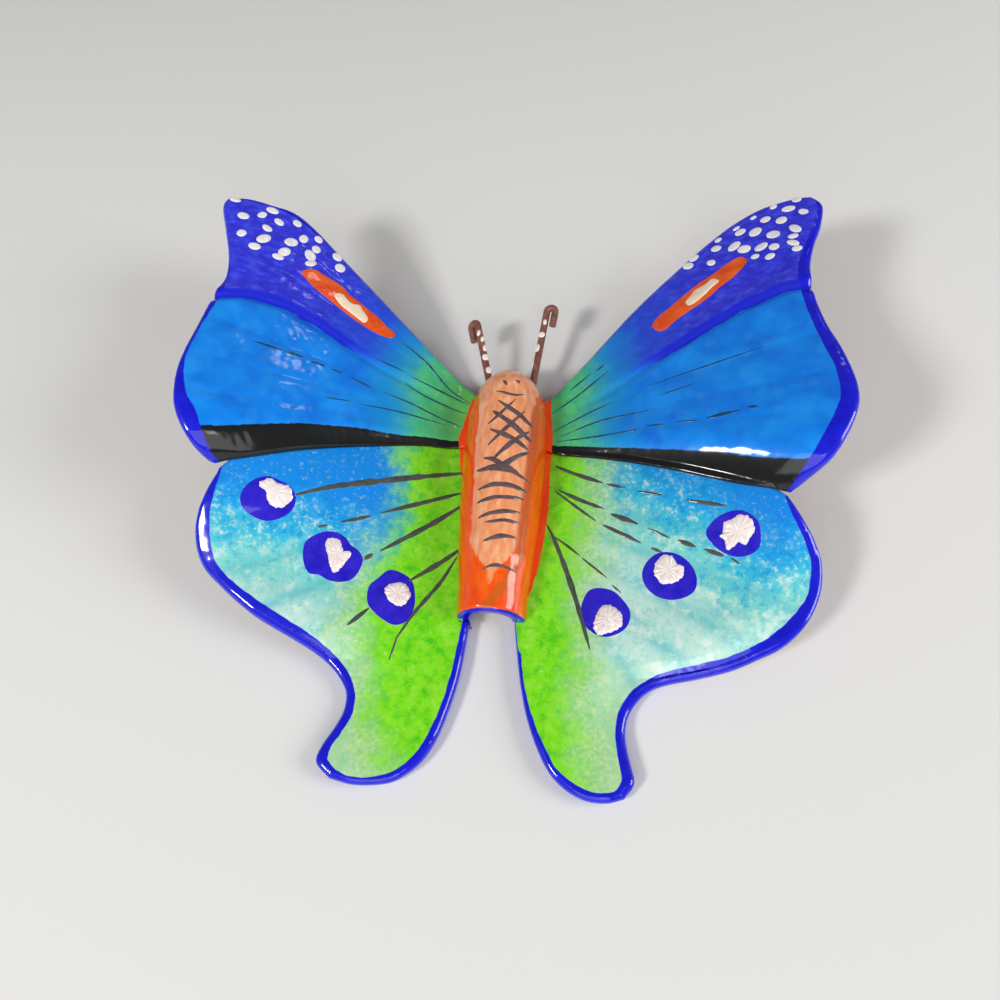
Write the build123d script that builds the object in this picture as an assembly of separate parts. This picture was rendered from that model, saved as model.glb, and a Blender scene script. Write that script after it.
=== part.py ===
"""Butterfly wall ornament: a hollow clay body set on four clay wings, with two bent
wire antennae in the head and a hanging wire across the hollow of the back.

Millimetres. +Y points to the head, +X to the right wing, +Z away from the surface that
the ornament rests on or hangs against. The origin is the bottom centre of the whole."""
import os
from math import atan2, cos, degrees, exp, hypot, radians, sin, sqrt

from build123d import *

os.makedirs("parts", exist_ok=True)

# Overall size
wingspan = 140.0
overall_length = 130.0

# Clay wings
wing_thickness = 3.2
rim_chamfer = 0.8        # takes the sharp corners off the wings' rims
root_gap = 9.6           # clear width between the left and right wings, under the body
foot_flat = 0.25         # depth of the flat that is rubbed on the undersides
seat_depth = 0.2         # depth of the flat that is cut into the roots for the body
seat_margin = 0.3        # how far that flat runs past the body's foot
slip_joint = 0.05        # the thin film of slip between two luted pieces
forewing_slope = 0.41    # rise per millimetre outwards
hindwing_slope = 0.16
tail_slope = 0.0
hinge_softness = 5.0     # width over which a wing starts to rise
lap_width = 5.5          # how far the hindwing runs on under the forewing
margin_roll = 7.0        # width of the band that turns down to the outer margin
margin_drop = 1.3

# The forewing's lobe, which stands over the hindwing, and the furrow ahead of it
lip_height = 0.9         # thickness of the lobe's edge where it meets the hindwing
step_height = 4.6        # how high the lobe's crown stands over the hindwing
lobe_edge_root = 2.2     # width of the rounded edge below the crown, at the root
lobe_edge_tip = 6.8      # and at the outer margin
lobe_roundness = 2.2
lobe_full_angle = -12.0
panel_furrow_angle = 18.5
panel_furrow_depth = 0.9
panel_furrow_width = 1.7

# Vein furrows that fan out over the wings
vein_depth = 0.3
vein_width = 1.3
fore_vein_angles = [-8.0, 0.0, 9.0, 27.0, 34.0]
hind_vein_angles = [-68.0, -59.0, -50.0, -41.0, -32.0, -23.0, -14.0]

# Hollow clay body
body_length = 60.3
body_tail = -32.2        # the open end's place along Y
body_half_width = 9.3
body_height = 10.4       # above its seat on the wings
body_wall = 2.4
nose_length = 6.4        # the stretch that rounds off into the head
nose_solid = 6.3         # solid clay ahead of the hollow

# Antennae of bent wire: each rises ahead and outwards, and ends in a hairpin hook
antenna_wire = 1.7
glue_gap = 0.1           # round each wire in its hole
antenna_seat = 3.6       # how deep the wire is set in the head
antenna_spread = 5.4     # from the middle of the head to each hole
antenna_height = 2.9     # of the holes above the body's seat
hook_radius = 1.0
left_shaft = 13.4        # from the head to the hook
left_hook = 3.4          # the leg that turns back
left_lean_share = (-0.27, 1.0, 0.23)      # outwards, ahead and up
left_turn_share = (-0.8, 0.0, -0.6)       # the side that the hook turns to
right_shaft = 18.0
right_hook = 3.8
right_lean_share = (0.12, 1.0, 0.16)
right_turn_share = (1.0, 0.0, 0.1)

# Hanging wire
hanger_wire = 1.4
hanger_setback = 14.1    # from the tip of the head, which puts it above the balance point
hanger_rise = 2.6        # of the wire's ends above the body's seat
hanger_drop = 3.9        # how far the middle of the wire stands down from its ends
hanger_grip = 1.3        # how deep each end is set in the wall
hanger_shoulder = 1.2    # from the wall to the first bend
hanger_straight = 5.2    # the middle stretch that rests on the nail
hanger_bend = 1.3

overrun = 20.0           # how far cutting solids run past what they cut
surface_tolerance = 0.001
surface_rings = 18       # spans of a wing's surface outwards, and round its fan
surface_rays = 44

# Plan of the right wings: (share of half the wingspan, share of the overall length).
leading_edge_shares = [(0.257, 0.241), (0.43, 0.322), (0.60, 0.404), (0.786, 0.474)]
apex_shares = [(0.92, 0.4985), (0.985, 0.494), (0.999, 0.462)]
fore_margin_shares = [(0.955, 0.385), (0.92, 0.29), (0.947, 0.19), (0.979, 0.11),
                      (0.968, 0.035), (0.907, -0.021), (0.814, -0.064)]
step_shares = [(0.814, -0.064), (0.593, -0.015), (0.36, 0.034), (0.157, 0.064)]
hind_margin_shares = [(0.814, -0.064), (0.872, -0.115), (0.884, -0.168), (0.862, -0.21),
                      (0.80, -0.247), (0.70, -0.278), (0.57, -0.303), (0.455, -0.33),
                      (0.385, -0.368), (0.372, -0.41), (0.392, -0.445)]
tail_hook_shares = [(0.414, -0.474), (0.402, -0.490), (0.36, -0.4975)]
tail_shares = [(0.29, -0.499), (0.225, -0.485), (0.165, -0.452), (0.125, -0.40),
               (0.10, -0.33)]
root_front_share = 0.16      # where the leading edge passes under the body
root_step_share = 0.079      # where the step passes under the body
root_tail_share = -0.249     # where the inner edge of the tail starts

# The hindwing's hidden front edge: (share of half the wingspan, share of the lap's width).
lap_shares = [(0.157, 0.0), (0.28, 0.35), (0.42, 0.85), (0.58, 1.0), (0.71, 0.55)]

# Places along the length where the wings' slope has the tail's, hindwing's and forewing's value.
slope_shares = (-0.44, -0.23, 0.02)
hind_roll_shares = (-0.48, -0.25)     # where the margin starts to turn down, and is full

# Poles that each wing's veins fan out from, the fans' first and last angles, their reach,
# and the distances over which lobe and furrows grow, as shares of half the wingspan.
fore_pole_share = (-0.05, 0.104)
hind_pole_share = (-0.086, -0.013)
fore_fan = (-27.0, 49.0)
hind_fan = (-80.0, 54.0)
fore_reach_share = 1.34
hind_reach_share = 1.09
fore_growth_shares = (0.12, 0.75)
hind_growth_shares = (0.2, 0.6)
fan_start_share = 0.67       # of half the root gap, where both fans start

# Shares of the lobe's crown that are left at the furrow, and that the front panel falls by.
furrow_crown_share = 0.62
front_fall_share = 0.55
margin_limit_share = 1.2     # of the rolled margin's width, past which it falls no further

# Shares of the body's half width and height along its length, from tail to nose.
body_stations_share = [0.0, 0.2, 0.4, 0.6, 1.0]
body_width_shares = [0.70, 0.85, 0.95, 1.0, 1.0]
body_height_shares = [0.64, 0.80, 0.93, 1.0, 1.0]
body_loft_shares = [0.0, 0.2, 0.4, 0.6, 0.8, 0.894, 0.93, 0.96, 0.98, 0.993]
oval_share = 0.5523      # of a quarter oval's half axes, where its control points stand

hanger_place = body_tail + body_length - hanger_setback
half_span = wingspan / 2
root_half = root_gap / 2
root_top = wing_thickness - foot_flat
seat_level = root_top - seat_depth
rise_start = body_half_width + seat_margin
antenna_leans = [(-1, left_lean_share, left_turn_share), (1, right_lean_share, right_turn_share)]


def smooth(low, high, value):
    """0 below low, 1 above high, and a smooth rise between."""
    t = min(max((value - low) / (high - low), 0.0), 1.0)
    return t * t * (3 - 2 * t)


def plan(share):
    """A share pair as a place in the plan."""
    return (share[0] * half_span, share[1] * overall_length)


def along(points, value):
    """Second coordinate at a first coordinate, by straight lines between points."""
    points = sorted(points)
    for (a, p), (b, q) in zip(points, points[1:]):
        if value <= b or (b, q) == points[-1]:
            return p + (q - p) * (value - a) / (b - a)


step_root = (root_half, root_step_share * overall_length)
step_line = [plan(s) for s in step_shares] + [step_root]


def rise(x, y):
    """Height of the plain wing surface, before its lobe, furrows and rolled margin."""
    tail, hind, fore = (share * overall_length for share in slope_shares)
    slope = (tail_slope + (hindwing_slope - tail_slope) * smooth(tail, hind, y)
             + (forewing_slope - hindwing_slope) * smooth(hind, fore, y))
    out = max(x - rise_start, 0.0)
    soft = out * out / (2 * hinge_softness) if out < hinge_softness else out - hinge_softness / 2
    return root_top + slope * soft


def polar(pole_share, x, y):
    """Distance and angle in degrees of a place, seen from a wing's pole."""
    px, py = plan(pole_share)
    return hypot(x - px, y - py), degrees(atan2(y - py, x - px))


def margin_reaches(pole_share, shares):
    """Angle and distance of the outer margin, seen from a wing's pole."""
    return [tuple(reversed(polar(pole_share, *plan(s)))) for s in shares]


fore_reaches = margin_reaches(fore_pole_share, apex_shares + fore_margin_shares[1:])
hind_reaches = margin_reaches(hind_pole_share, hind_margin_shares[:-3] + tail_shares[:2])


def margin_fall(reaches, distance, angle):
    """How far the surface has turned down near the outer margin."""
    angles = [a for a, reach in reaches]
    reach = along(reaches, min(max(angle, min(angles)), max(angles)))
    near = 1 - (reach - distance) / margin_roll
    return margin_drop * min(max(near, 0.0), margin_limit_share) ** 2


def groove(depth, width, off):
    return depth * exp(-(off / (width / 2)) ** 2)


def growth(shares, distance):
    return smooth(shares[0] * half_span, shares[1] * half_span, distance)


def fore_top(x, y):
    """Height of the forewing: a lobe that stands over the hindwing, then a furrow and
    a flatter front panel."""
    distance, angle = polar(fore_pole_share, x, y)
    outer = growth(fore_growth_shares, distance)
    crown = lip_height + (step_height - lip_height) * outer
    edge = lobe_edge_root + (lobe_edge_tip - lobe_edge_root) * outer
    behind = min(max((y - along(step_line, x)) / edge, 0.0), 1.0)
    lobe = lip_height + (crown - lip_height) * (1 - (1 - behind) ** lobe_roundness)
    back = smooth(0.0, panel_furrow_angle - lobe_full_angle, panel_furrow_angle - angle)
    front = max(angle - panel_furrow_angle, 0.0) / (fore_fan[1] - panel_furrow_angle)
    height = rise(x, y) + lobe * (furrow_crown_share + (1 - furrow_crown_share) * back)
    height -= front_fall_share * crown * front ** 2
    arc = radians(angle - panel_furrow_angle) * distance
    height -= groove(panel_furrow_depth * outer, panel_furrow_width, arc)
    for vein in fore_vein_angles:
        arc = radians(angle - vein) * distance
        height -= groove(vein_depth * outer, vein_width, arc)
    return height - margin_fall(fore_reaches, distance, angle) * outer


def hind_top(x, y):
    """Height of the hindwing, with its fan of shallow vein furrows."""
    distance, angle = polar(hind_pole_share, x, y)
    outer = growth(hind_growth_shares, distance)
    height = rise(x, y)
    for vein in hind_vein_angles:
        arc = radians(angle - vein) * distance
        height -= groove(vein_depth * outer, vein_width, arc)
    low, high = (share * overall_length for share in hind_roll_shares)
    return height - margin_fall(hind_reaches, distance, angle) * outer * smooth(low, high, y)


def slab(top, pole_share, fan, reach_share, lift=0.0, depth=wing_thickness):
    """A slab whose upper face follows the height function, on points that fan out from
    the wing's pole."""
    px, py = plan(pole_share)
    reach = reach_share * half_span
    crotch = root_tail_share * overall_length
    points = []
    for i in range(surface_rays + 1):
        angle = radians(fan[0] + (fan[1] - fan[0]) * i / surface_rays)
        start = (fan_start_share * root_half - px) / cos(angle)
        if sin(angle) < 0:
            start = min(start, (crotch - py) / sin(angle) - (1 - fan_start_share) * root_half)
        row = []
        for j in range(surface_rings + 1):
            r = start + (reach - start) * j / surface_rings
            x, y = px + r * cos(angle), py + r * sin(angle)
            row.append(Vector(x, y, top(x, y) + lift))
        points.append(row)
    face = Face.make_surface_from_array_of_points(
        points, tol=surface_tolerance, min_deg=3, max_deg=8)
    return Solid.extrude(face, Vector(0, 0, -depth))


def prism(lines):
    """A tall solid with the outline of the joined lines."""
    face = make_face(Curve() + lines).face()
    return Solid.extrude(face.moved(Location((0, 0, -overrun))), Vector(0, 0, wingspan))


def forewing_outline():
    lead_root = (root_half, root_front_share * overall_length)
    rim = leading_edge_shares + apex_shares + fore_margin_shares
    return [
        Spline([lead_root] + [plan(s) for s in rim]),
        Spline([plan(s) for s in step_shares] + [step_root]),
        Line(step_root, lead_root),
    ]


def hindwing_outline():
    crotch = (root_half, root_tail_share * overall_length)
    rim = hind_margin_shares + tail_hook_shares + tail_shares
    places = [(share * half_span, lap * lap_width) for share, lap in lap_shares]
    front = [(x, along(step_line, x) + lap) for x, lap in places]
    return [
        Spline([plan(s) for s in rim] + [crotch]),
        Line(crotch, step_root),
        Spline([step_root] + front + [plan(step_shares[0])]),
    ]


def hind_slab(lift=0.0, depth=wing_thickness):
    return slab(hind_top, hind_pole_share, hind_fan, hind_reach_share, lift, depth)


def nose(share):
    """Shrinks the body's sections towards the tip of the head."""
    start = 1 - nose_length / body_length
    t = max((share - start) / (1 - start), 0.0)
    return sqrt(max(1 - t * t, 0.0))


def body_width(share):
    shares = list(zip(body_stations_share, body_width_shares))
    return body_half_width * along(shares, share) * nose(share)


def body_rise(share):
    shares = list(zip(body_stations_share, body_height_shares))
    return body_height * along(shares, share) * nose(share)


def section(share, inset):
    """An upright oval through the body, centred on its seat."""
    y = body_tail + share * body_length
    w, h = body_width(share) - inset, body_rise(share) - inset
    quarters = []
    for a, b in (((w, 0), (0, h)), ((0, h), (-w, 0)), ((-w, 0), (0, -h)), ((0, -h), (w, 0))):
        near_a = (a[0] + oval_share * b[0], a[1] + oval_share * b[1])
        near_b = (b[0] + oval_share * a[0], b[1] + oval_share * a[1])
        quarters.append(Bezier(a, near_a, near_b, b))
    plane = Plane((0, y, seat_level), x_dir=(1, 0, 0), z_dir=(0, -1, 0))
    return plane * make_face(Curve() + quarters).face()


def body_form(inset, tail_run, solid_nose):
    """The body's rounded form, grown or shrunk all round and run past its open end. It
    ends in the tip of the head, or short of the head's solid clay."""
    shares = body_loft_shares
    tip = Vertex(0, body_tail + body_length - inset, seat_level)
    if solid_nose:
        last = 1 - nose_solid / body_length
        shares = [s for s in shares if s < last]
        tip = section(last, inset)
    form = loft([section(share, inset) for share in shares] + [tip])
    if tail_run:
        form += Solid.extrude(section(0, inset), Vector(0, -tail_run, 0))
    return form


def above(level, solid):
    side = 2 * wingspan
    return solid & Solid.make_box(side, side, wingspan, Plane((-wingspan, -wingspan, level)))


def level_foot(wing):
    """Rubs the underside flat where the wing rests, and cuts the seat for the body."""
    seat = above(seat_level, body_form(-seat_margin, seat_margin, False))
    return above(0, wing) - seat


def soften(wing):
    """Takes the corners off the rim, above and below. Its wall is the largest face after
    the top and the underside."""
    rim = wing.faces().sort_by(SortBy.AREA)[-3]
    return wing.chamfer(rim_chamfer, None, rim.edges().sort_by(SortBy.LENGTH)[-2:])


def hindwing():
    return level_foot(soften(hind_slab() & prism(hindwing_outline())))


def forewing():
    """The right forewing, rebated under its back edge to lie on the hindwing."""
    wing = slab(fore_top, fore_pole_share, fore_fan, fore_reach_share)
    wing = soften(wing & prism(forewing_outline()))
    lap = hind_slab(slip_joint, overrun) & prism(hindwing_outline())
    return level_foot(wing - lap)


def antenna_frame(side, lean_share, turn_share):
    """Where an antenna leaves the head, its direction, and the side its hook turns to."""
    lean = Vector(*lean_share).normalized()
    turn = Vector(*turn_share)
    turn = (turn - lean * turn.dot(lean)).normalized()
    x, z = antenna_spread / body_half_width, antenna_height / body_height
    y = body_tail + body_length - nose_length * (1 - sqrt(1 - x * x - z * z))
    return Vector(side * antenna_spread, y, seat_level + antenna_height), lean, turn


def body():
    """The hollow half-round body, open at the back and at the tail, solid at the head."""
    shell = above(seat_level, body_form(0, 0, False)) - body_form(body_wall, overrun, True)
    for side, lean_share, turn_share in antenna_leans:
        base, lean, turn = antenna_frame(side, lean_share, turn_share)
        shell -= Solid.make_cylinder(antenna_wire / 2 + glue_gap, antenna_seat + overrun,
                                     Plane(base - lean * antenna_seat, z_dir=lean))
    reach = hanger_half_width() + hanger_grip
    ends = Plane((-reach, hanger_place, seat_level + hanger_rise), z_dir=(1, 0, 0))
    return shell - Solid.make_cylinder(hanger_wire / 2 + glue_gap, 2 * reach, ends)


def antenna(side, lean_share, turn_share, shaft, hook):
    """A straight wire out of the head, a hairpin, and a short leg back."""
    base, lean, turn = antenna_frame(side, lean_share, turn_share)
    tip = base + lean * shaft
    over = tip + turn * hook_radius + lean * hook_radius
    back = tip + turn * (2 * hook_radius)
    start = base - lean * (antenna_seat - glue_gap)
    path = Wire([Line(start, tip), ThreePointArc(tip, over, back), Line(back, back - lean * hook)])
    return sweep(Plane(start, z_dir=lean) * Circle(antenna_wire / 2).face(), path)


def hanger_half_width():
    """Half the hollow's width at the hanging wire's ends."""
    share = (hanger_place - body_tail) / body_length
    w, h = body_width(share) - body_wall, body_rise(share) - body_wall
    return w * sqrt(1 - (hanger_rise / h) ** 2)


def hanging_wire():
    """A wire across the hollow, bowed towards the wall so that a nail's head passes."""
    half = hanger_half_width()
    high = seat_level + hanger_rise
    end, shoulder, middle = half + hanger_grip - glue_gap, half - hanger_shoulder, hanger_straight / 2
    points = [(-end, high), (-shoulder, high), (-middle, high - hanger_drop),
              (middle, high - hanger_drop), (shoulder, high), (end, high)]
    path = FilletPolyline([(x, hanger_place, z) for x, z in points], radius=hanger_bend)
    return sweep(Plane(path @ 0, z_dir=path % 0) * Circle(hanger_wire / 2).face(), path)


def save(name, solid):
    solid = solid.solids()[0]
    solid.label = name
    export_step(solid, f"parts/{name}.step")


right_hindwing = hindwing()
right_forewing = forewing()
save("body", body())
save("right_hindwing", right_hindwing)
save("left_hindwing", mirror(right_hindwing, Plane.YZ))
save("right_forewing", right_forewing)
save("left_forewing", mirror(right_forewing, Plane.YZ))
save("left_antenna", antenna(*antenna_leans[0], left_shaft, left_hook))
save("right_antenna", antenna(*antenna_leans[1], right_shaft, right_hook))
save("hanging_wire", hanging_wire())
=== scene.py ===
from math import cos, pi, radians, sin, sqrt
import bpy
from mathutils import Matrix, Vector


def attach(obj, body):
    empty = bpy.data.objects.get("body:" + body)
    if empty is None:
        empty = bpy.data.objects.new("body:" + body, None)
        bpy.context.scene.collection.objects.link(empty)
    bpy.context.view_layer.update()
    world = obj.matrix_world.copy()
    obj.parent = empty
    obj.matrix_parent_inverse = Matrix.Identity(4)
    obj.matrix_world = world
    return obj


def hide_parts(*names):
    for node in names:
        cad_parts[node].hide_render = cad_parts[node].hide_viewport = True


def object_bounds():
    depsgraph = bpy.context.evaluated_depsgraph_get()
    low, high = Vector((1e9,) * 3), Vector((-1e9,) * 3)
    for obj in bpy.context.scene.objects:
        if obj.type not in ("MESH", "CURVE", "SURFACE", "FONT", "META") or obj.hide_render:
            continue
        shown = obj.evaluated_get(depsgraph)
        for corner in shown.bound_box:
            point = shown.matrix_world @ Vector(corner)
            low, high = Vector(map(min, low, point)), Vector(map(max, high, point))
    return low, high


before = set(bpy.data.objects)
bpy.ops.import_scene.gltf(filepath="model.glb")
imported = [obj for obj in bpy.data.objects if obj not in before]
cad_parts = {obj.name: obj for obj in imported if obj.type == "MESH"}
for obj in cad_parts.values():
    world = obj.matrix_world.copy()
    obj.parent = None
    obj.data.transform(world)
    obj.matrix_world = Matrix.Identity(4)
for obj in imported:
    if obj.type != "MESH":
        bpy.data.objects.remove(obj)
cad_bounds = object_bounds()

from types import SimpleNamespace

import bmesh
import bpy
import numpy as np
from mathutils import Matrix, Vector

# All sizes are millimetres up to make_mesh, which turns them into metres.
MM = 0.001

# The photograph's camera. Pixel places are read in its 1000 x 1000 frame.
camera_place = np.array([13.3, -80.7, 147.6])
camera_target = np.array([-0.1, -5.8, 5.0])
camera_right = np.array([0.9955, 0.0786, -0.0522])
focal_px = 751.0
image_px = 1000.0

# Sizes of the clay pieces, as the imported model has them
half_span = 70.0
overall_length = 130.0
wing_thickness = 3.2
root_half = 4.8
root_top = 2.95
root_front, root_step, root_back = 20.8, 10.27, -32.4
seat_level = 2.75
rise_start = 9.6
hinge_softness = 5.0
tail_slope, hindwing_slope, forewing_slope = 0.0, 0.16, 0.41
slope_places = (-0.44 * overall_length, -0.23 * overall_length, 0.02 * overall_length)
margin_roll, margin_drop = 7.0, 1.3
lip_height, step_height = 0.9, 4.6
lobe_edge_root, lobe_edge_tip = 2.2, 6.8
lobe_roundness = 2.2
lobe_full_angle, panel_furrow_angle, fore_last_angle = -12.0, 18.5, 49.0
front_lobe_share, front_fall_share = 0.62, 0.55
furrow_depth, furrow_width, furrow_ridge = 0.9, 2.2, 0.35
vein_depth, vein_width, vein_paint_width = 0.14, 2.0, 3.2
fore_vein_angles = (-8.0, 0.0, 9.0, 27.0, 34.0)
hind_vein_angles = (-68.0, -59.0, -50.0, -41.0, -32.0, -23.0, -14.0)
fore_pole = (-3.5, 13.52)
hind_pole = (-6.02, -1.69)
fore_form = (0.12 * half_span, 0.75 * half_span)
hind_form = (0.2 * half_span, 0.6 * half_span)
hind_ink = (0.15 * half_span, 0.45 * half_span)
hind_roll = (-0.48 * overall_length, -0.25 * overall_length)
fore_vein_fade, hind_vein_fade = (0.0, 7.0), (1.0, 9.0)
lap_width, lap_from, lap_full = 5.5, 11.0, 40.0
slip_joint, tuck, tuck_slope = 0.05, 0.5, 0.05
rim_radius, rim_pull, rim_depth_share, thinnest = 1.25, 1.6, 0.48, 0.02
box_margin = 0.03
fore_lead_drop, fore_margin_drop, hind_drop = 0.4, 0.9, 1.9
body_tail, body_length = -32.2, 60.3
body_half_width, body_height, body_wall = 9.3, 10.4, 2.4
nose_length, nose_solid, lip_radius = 8.4, 6.3, 0.6
tail_flare, tail_flare_share, tail_blue = 0.5, 0.06, 0.42
body_stations = (0.0, 0.2, 0.4, 0.6, 0.78, 0.88, 1.0)
body_width_shares = (0.70, 0.85, 0.95, 1.0, 0.98, 0.86, 0.74)
body_height_shares = (0.64, 0.80, 0.93, 1.0, 1.0, 0.96, 0.90)

# How many tries find a place on a surface, and how finely lines, wings and the body are divided
surface_tries, curve_steps, wave_count = 60, 24, 28
line_count, rim_count, foot_count = 160, 500, 400
fore_grid, hind_grid = (210, 170), (200, 190)
body_round, body_rows, dome_rows = 61, 150, 30

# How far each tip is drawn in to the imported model, and over what stretch
left_tip_shift, left_tip_x, left_tip_y = 2.3, (40.0, 72.0), (35.0, 60.0)
right_tip_shift, right_tip_y = 1.0, (45.0, 66.0)

# How far round the body its salmon paint reaches to each side, at places along it
salmon_fade, salmon_fade_y = 2.2, (-25.0, -18.0)
left_salmon = ([-32, -25, -18, 0, 14, 20, 24, 28], [0.0, 3.0, 5.6, 6.4, 6.6, 8.0, 12.0, 16.0])
right_salmon = ([-32, -26, -20, 0, 12, 18, 23, 28], [-2.0, 2.5, 5.0, 6.3, 6.6, 7.6, 11.0, 16.0])

# Painted shade on the right flank: an ochre-brown line along the salmon's right edge, which ends at the
# head
flank_shade_half, flank_shade_off, flank_shade_fade, flank_shade_fade_y = 1.5, 1.0, 4.0, (14.0, 20.0)

# Values of the paint's layers: a place well inside the black band, one on the rim, and how
# far from the forewing's foot its side still belongs to the band
well_inside, on_rim, foot_reach = 9.0, -3.0, 1.6

# Heights of the thick paint
dot_height, lozenge_height, core_height, disc_height, impasto_height = 0.18, 0.1, 0.28, 0.14, 0.55
fine_stroke_height, stroke_height = 0.05, 0.09

# Each side as the photograph shows it. The outlines run from the root outwards, or on from
# the wing's tip, and a third value is the width of the blue rim there. Where the paint
# changes there are lines: the furrow, the black band, the two greens, the pale lower part
# and the end of the body's orange. A dot has its place, length, width and, on the wings,
# its slant in degrees. A stroke has its line of places and its widest width.
left = SimpleNamespace(
    name="left",
    sign=-1,
    lead_px=[(478, 395, 1), (440, 360, 1), (400, 318, 2), (350, 265, 2), (300, 217, 3), (262, 201, 3),
        (232, 196, 3)],
    tip_px=[(218, 197, 3), (212, 205, 3)],
    margin_px=[(218, 228, 3), (225, 250, 3), (227, 268, 3), (222, 284, 3), (213, 301, 3), (195, 330, 3),
        (180, 360, 5), (173, 390, 13), (176, 415, 20), (189, 440, 16), (204, 456, 9)],
    notch_px=(217, 466),
    foot_px=[(250, 459), (300, 452), (360, 448), (420, 447), (462, 449)],
    hind_px=[(205, 500, 7), (197, 533, 13), (203, 565, 13), (222, 588, 12), (250, 613, 15),
        (273, 628, 15), (297, 642, 14), (317, 655, 12), (331, 667, 11), (341, 680, 10), (347, 695, 8),
        (344, 713, 8), (335, 729, 7), (323, 746, 8)],
    hook_px=[(317, 763, 12), (330, 779, 11)],
    tail_px=[(355, 786, 9), (387, 784, 10), (407, 775, 11), (424, 760, 11), (438, 738, 11),
        (451, 706, 10), (460, 677, 10), (466, 647, 9), (470, 622, 8)],
    furrow_px=[(215, 296), (250, 296), (285, 307), (320, 327), (360, 355), (395, 376)],
    band_px=[(180, 424), (227, 425), (293, 423), (327, 425), (360, 428), (393, 434), (427, 439),
        (462, 443)],
    fore_green_px=[(400, 450), (403, 437), (406, 415), (408, 395), (413, 373), (430, 352)],
    green_px=[(400, 800), (385, 755), (376, 717), (371, 683), (367, 650), (368, 617), (375, 590),
        (385, 560), (394, 533), (401, 500), (404, 480), (400, 440)],
    pale_px=[(180, 528), (213, 534), (260, 542), (313, 552), (350, 568), (390, 610)],
    orange_px=[(473, 400), (466, 420), (459, 440), (461, 480), (461, 530), (460, 570), (458, 606)],
    dots_px=[(226, 199, 11, 5, 0), (265, 208, 15, 6, 20), (235, 214, 12, 7, 5), (254, 212, 11, 6, 5),
        (273, 220, 12, 6, 30), (293, 222, 11, 6, 30), (261, 226, 12, 6, 28), (236, 232, 10, 7, 0),
        (259, 237, 15, 9, -3), (301, 238, 10, 8, 20), (288, 241, 15, 8, 14), (317, 239, 10, 6, 35),
        (251, 245, 13, 7, 15), (282, 251, 13, 9, 0), (315, 249, 10, 7, 30), (276, 256, 13, 6, 20),
        (309, 255, 14, 9, 45), (310, 263, 12, 6, 0), (337, 257, 11, 7, 35), (340, 268, 11, 8, 25)],
    lozenge_px=[(301, 271), (313, 269), (324, 275), (336, 282), (344, 288), (350, 295), (357, 300),
        (364, 306), (373, 313), (381, 320), (387, 327), (395, 333), (391, 338), (376, 333), (355, 320),
        (337, 306), (315, 288), (306, 279)],
    core_px=[(333, 295), (337, 292), (343, 294), (348, 300), (354, 304), (360, 305), (364, 311),
        (369, 318), (369, 322), (365, 324), (359, 320), (350, 313), (340, 305)],
    discs_px=[[(240, 500), (243, 489), (253, 480), (267, 476), (279, 480), (290, 486), (296, 498),
        (292, 510), (281, 518), (267, 521), (254, 517), (244, 509)], [(303, 550), (307, 540), (322, 532),
        (335, 532), (345, 537), (351, 545), (359, 551), (363, 560), (359, 571), (352, 579), (341, 582),
        (328, 580), (319, 575), (309, 573), (304, 564)], [(367, 600), (369, 586), (378, 578), (389, 570),
        (402, 573), (412, 581), (415, 594), (414, 608), (408, 620), (395, 625), (382, 619), (371, 609)]],
    dabs_px=[[(259, 482), (271, 478), (278, 483), (289, 486), (293, 495), (291, 502), (284, 508),
        (274, 508), (267, 501), (266, 492), (260, 487)], [(325, 546), (326, 540), (333, 537), (340, 540),
        (343, 548), (345, 552), (351, 551), (351, 556), (344, 566), (335, 574), (330, 568), (328, 558)],
        [(384, 589), (389, 584), (397, 582), (406, 584), (411, 594), (408, 602), (401, 607), (392, 604),
        (386, 597)]],
    fore_strokes_px=[([(402, 342), (427, 363), (448, 388), (470, 404)], 1.7),
        ([(373, 357), (405, 372)], 1.5), ([(412, 377), (440, 391), (468, 405)], 1.6),
        ([(405, 383), (423, 395), (450, 408), (466, 414)], 1.5),
        ([(383, 392), (410, 403), (440, 418), (462, 427)], 1.5), ([(254, 341), (285, 351)], 2.0),
        ([(285, 351), (303, 357)], 2.6), ([(310, 361), (325, 366)], 2.0), ([(331, 369), (342, 373)], 1.8),
        ([(350, 377), (372, 388)], 1.5), ([(324, 397), (350, 401)], 1.3),
        ([(360, 404), (400, 412), (445, 425)], 1.4)],
    hind_strokes_px=[([(470, 473), (430, 476), (380, 481), (330, 487), (295, 495)], 6.0),
        ([(462, 493), (430, 501), (381, 513)], 4.5), ([(371, 516), (341, 522)], 4.0),
        ([(328, 525), (318, 527)], 3.0), ([(465, 504), (430, 525), (380, 551)], 5.5),
        ([(373, 554), (364, 559)], 5.0), ([(462, 548), (440, 563), (409, 581)], 5.0),
        ([(369, 608), (347, 625)], 4.5), ([(457, 557), (440, 583), (415, 612), (395, 640)], 4.0),
        ([(398, 635), (389, 660)], 2.2)],
    antenna_dots_px=[(489, 370, 8, 7), (485.5, 357, 8, 7), (485, 348, 8, 5), (482.5, 339, 7, 4),
        (478.5, 333, 7, 4)])

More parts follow.
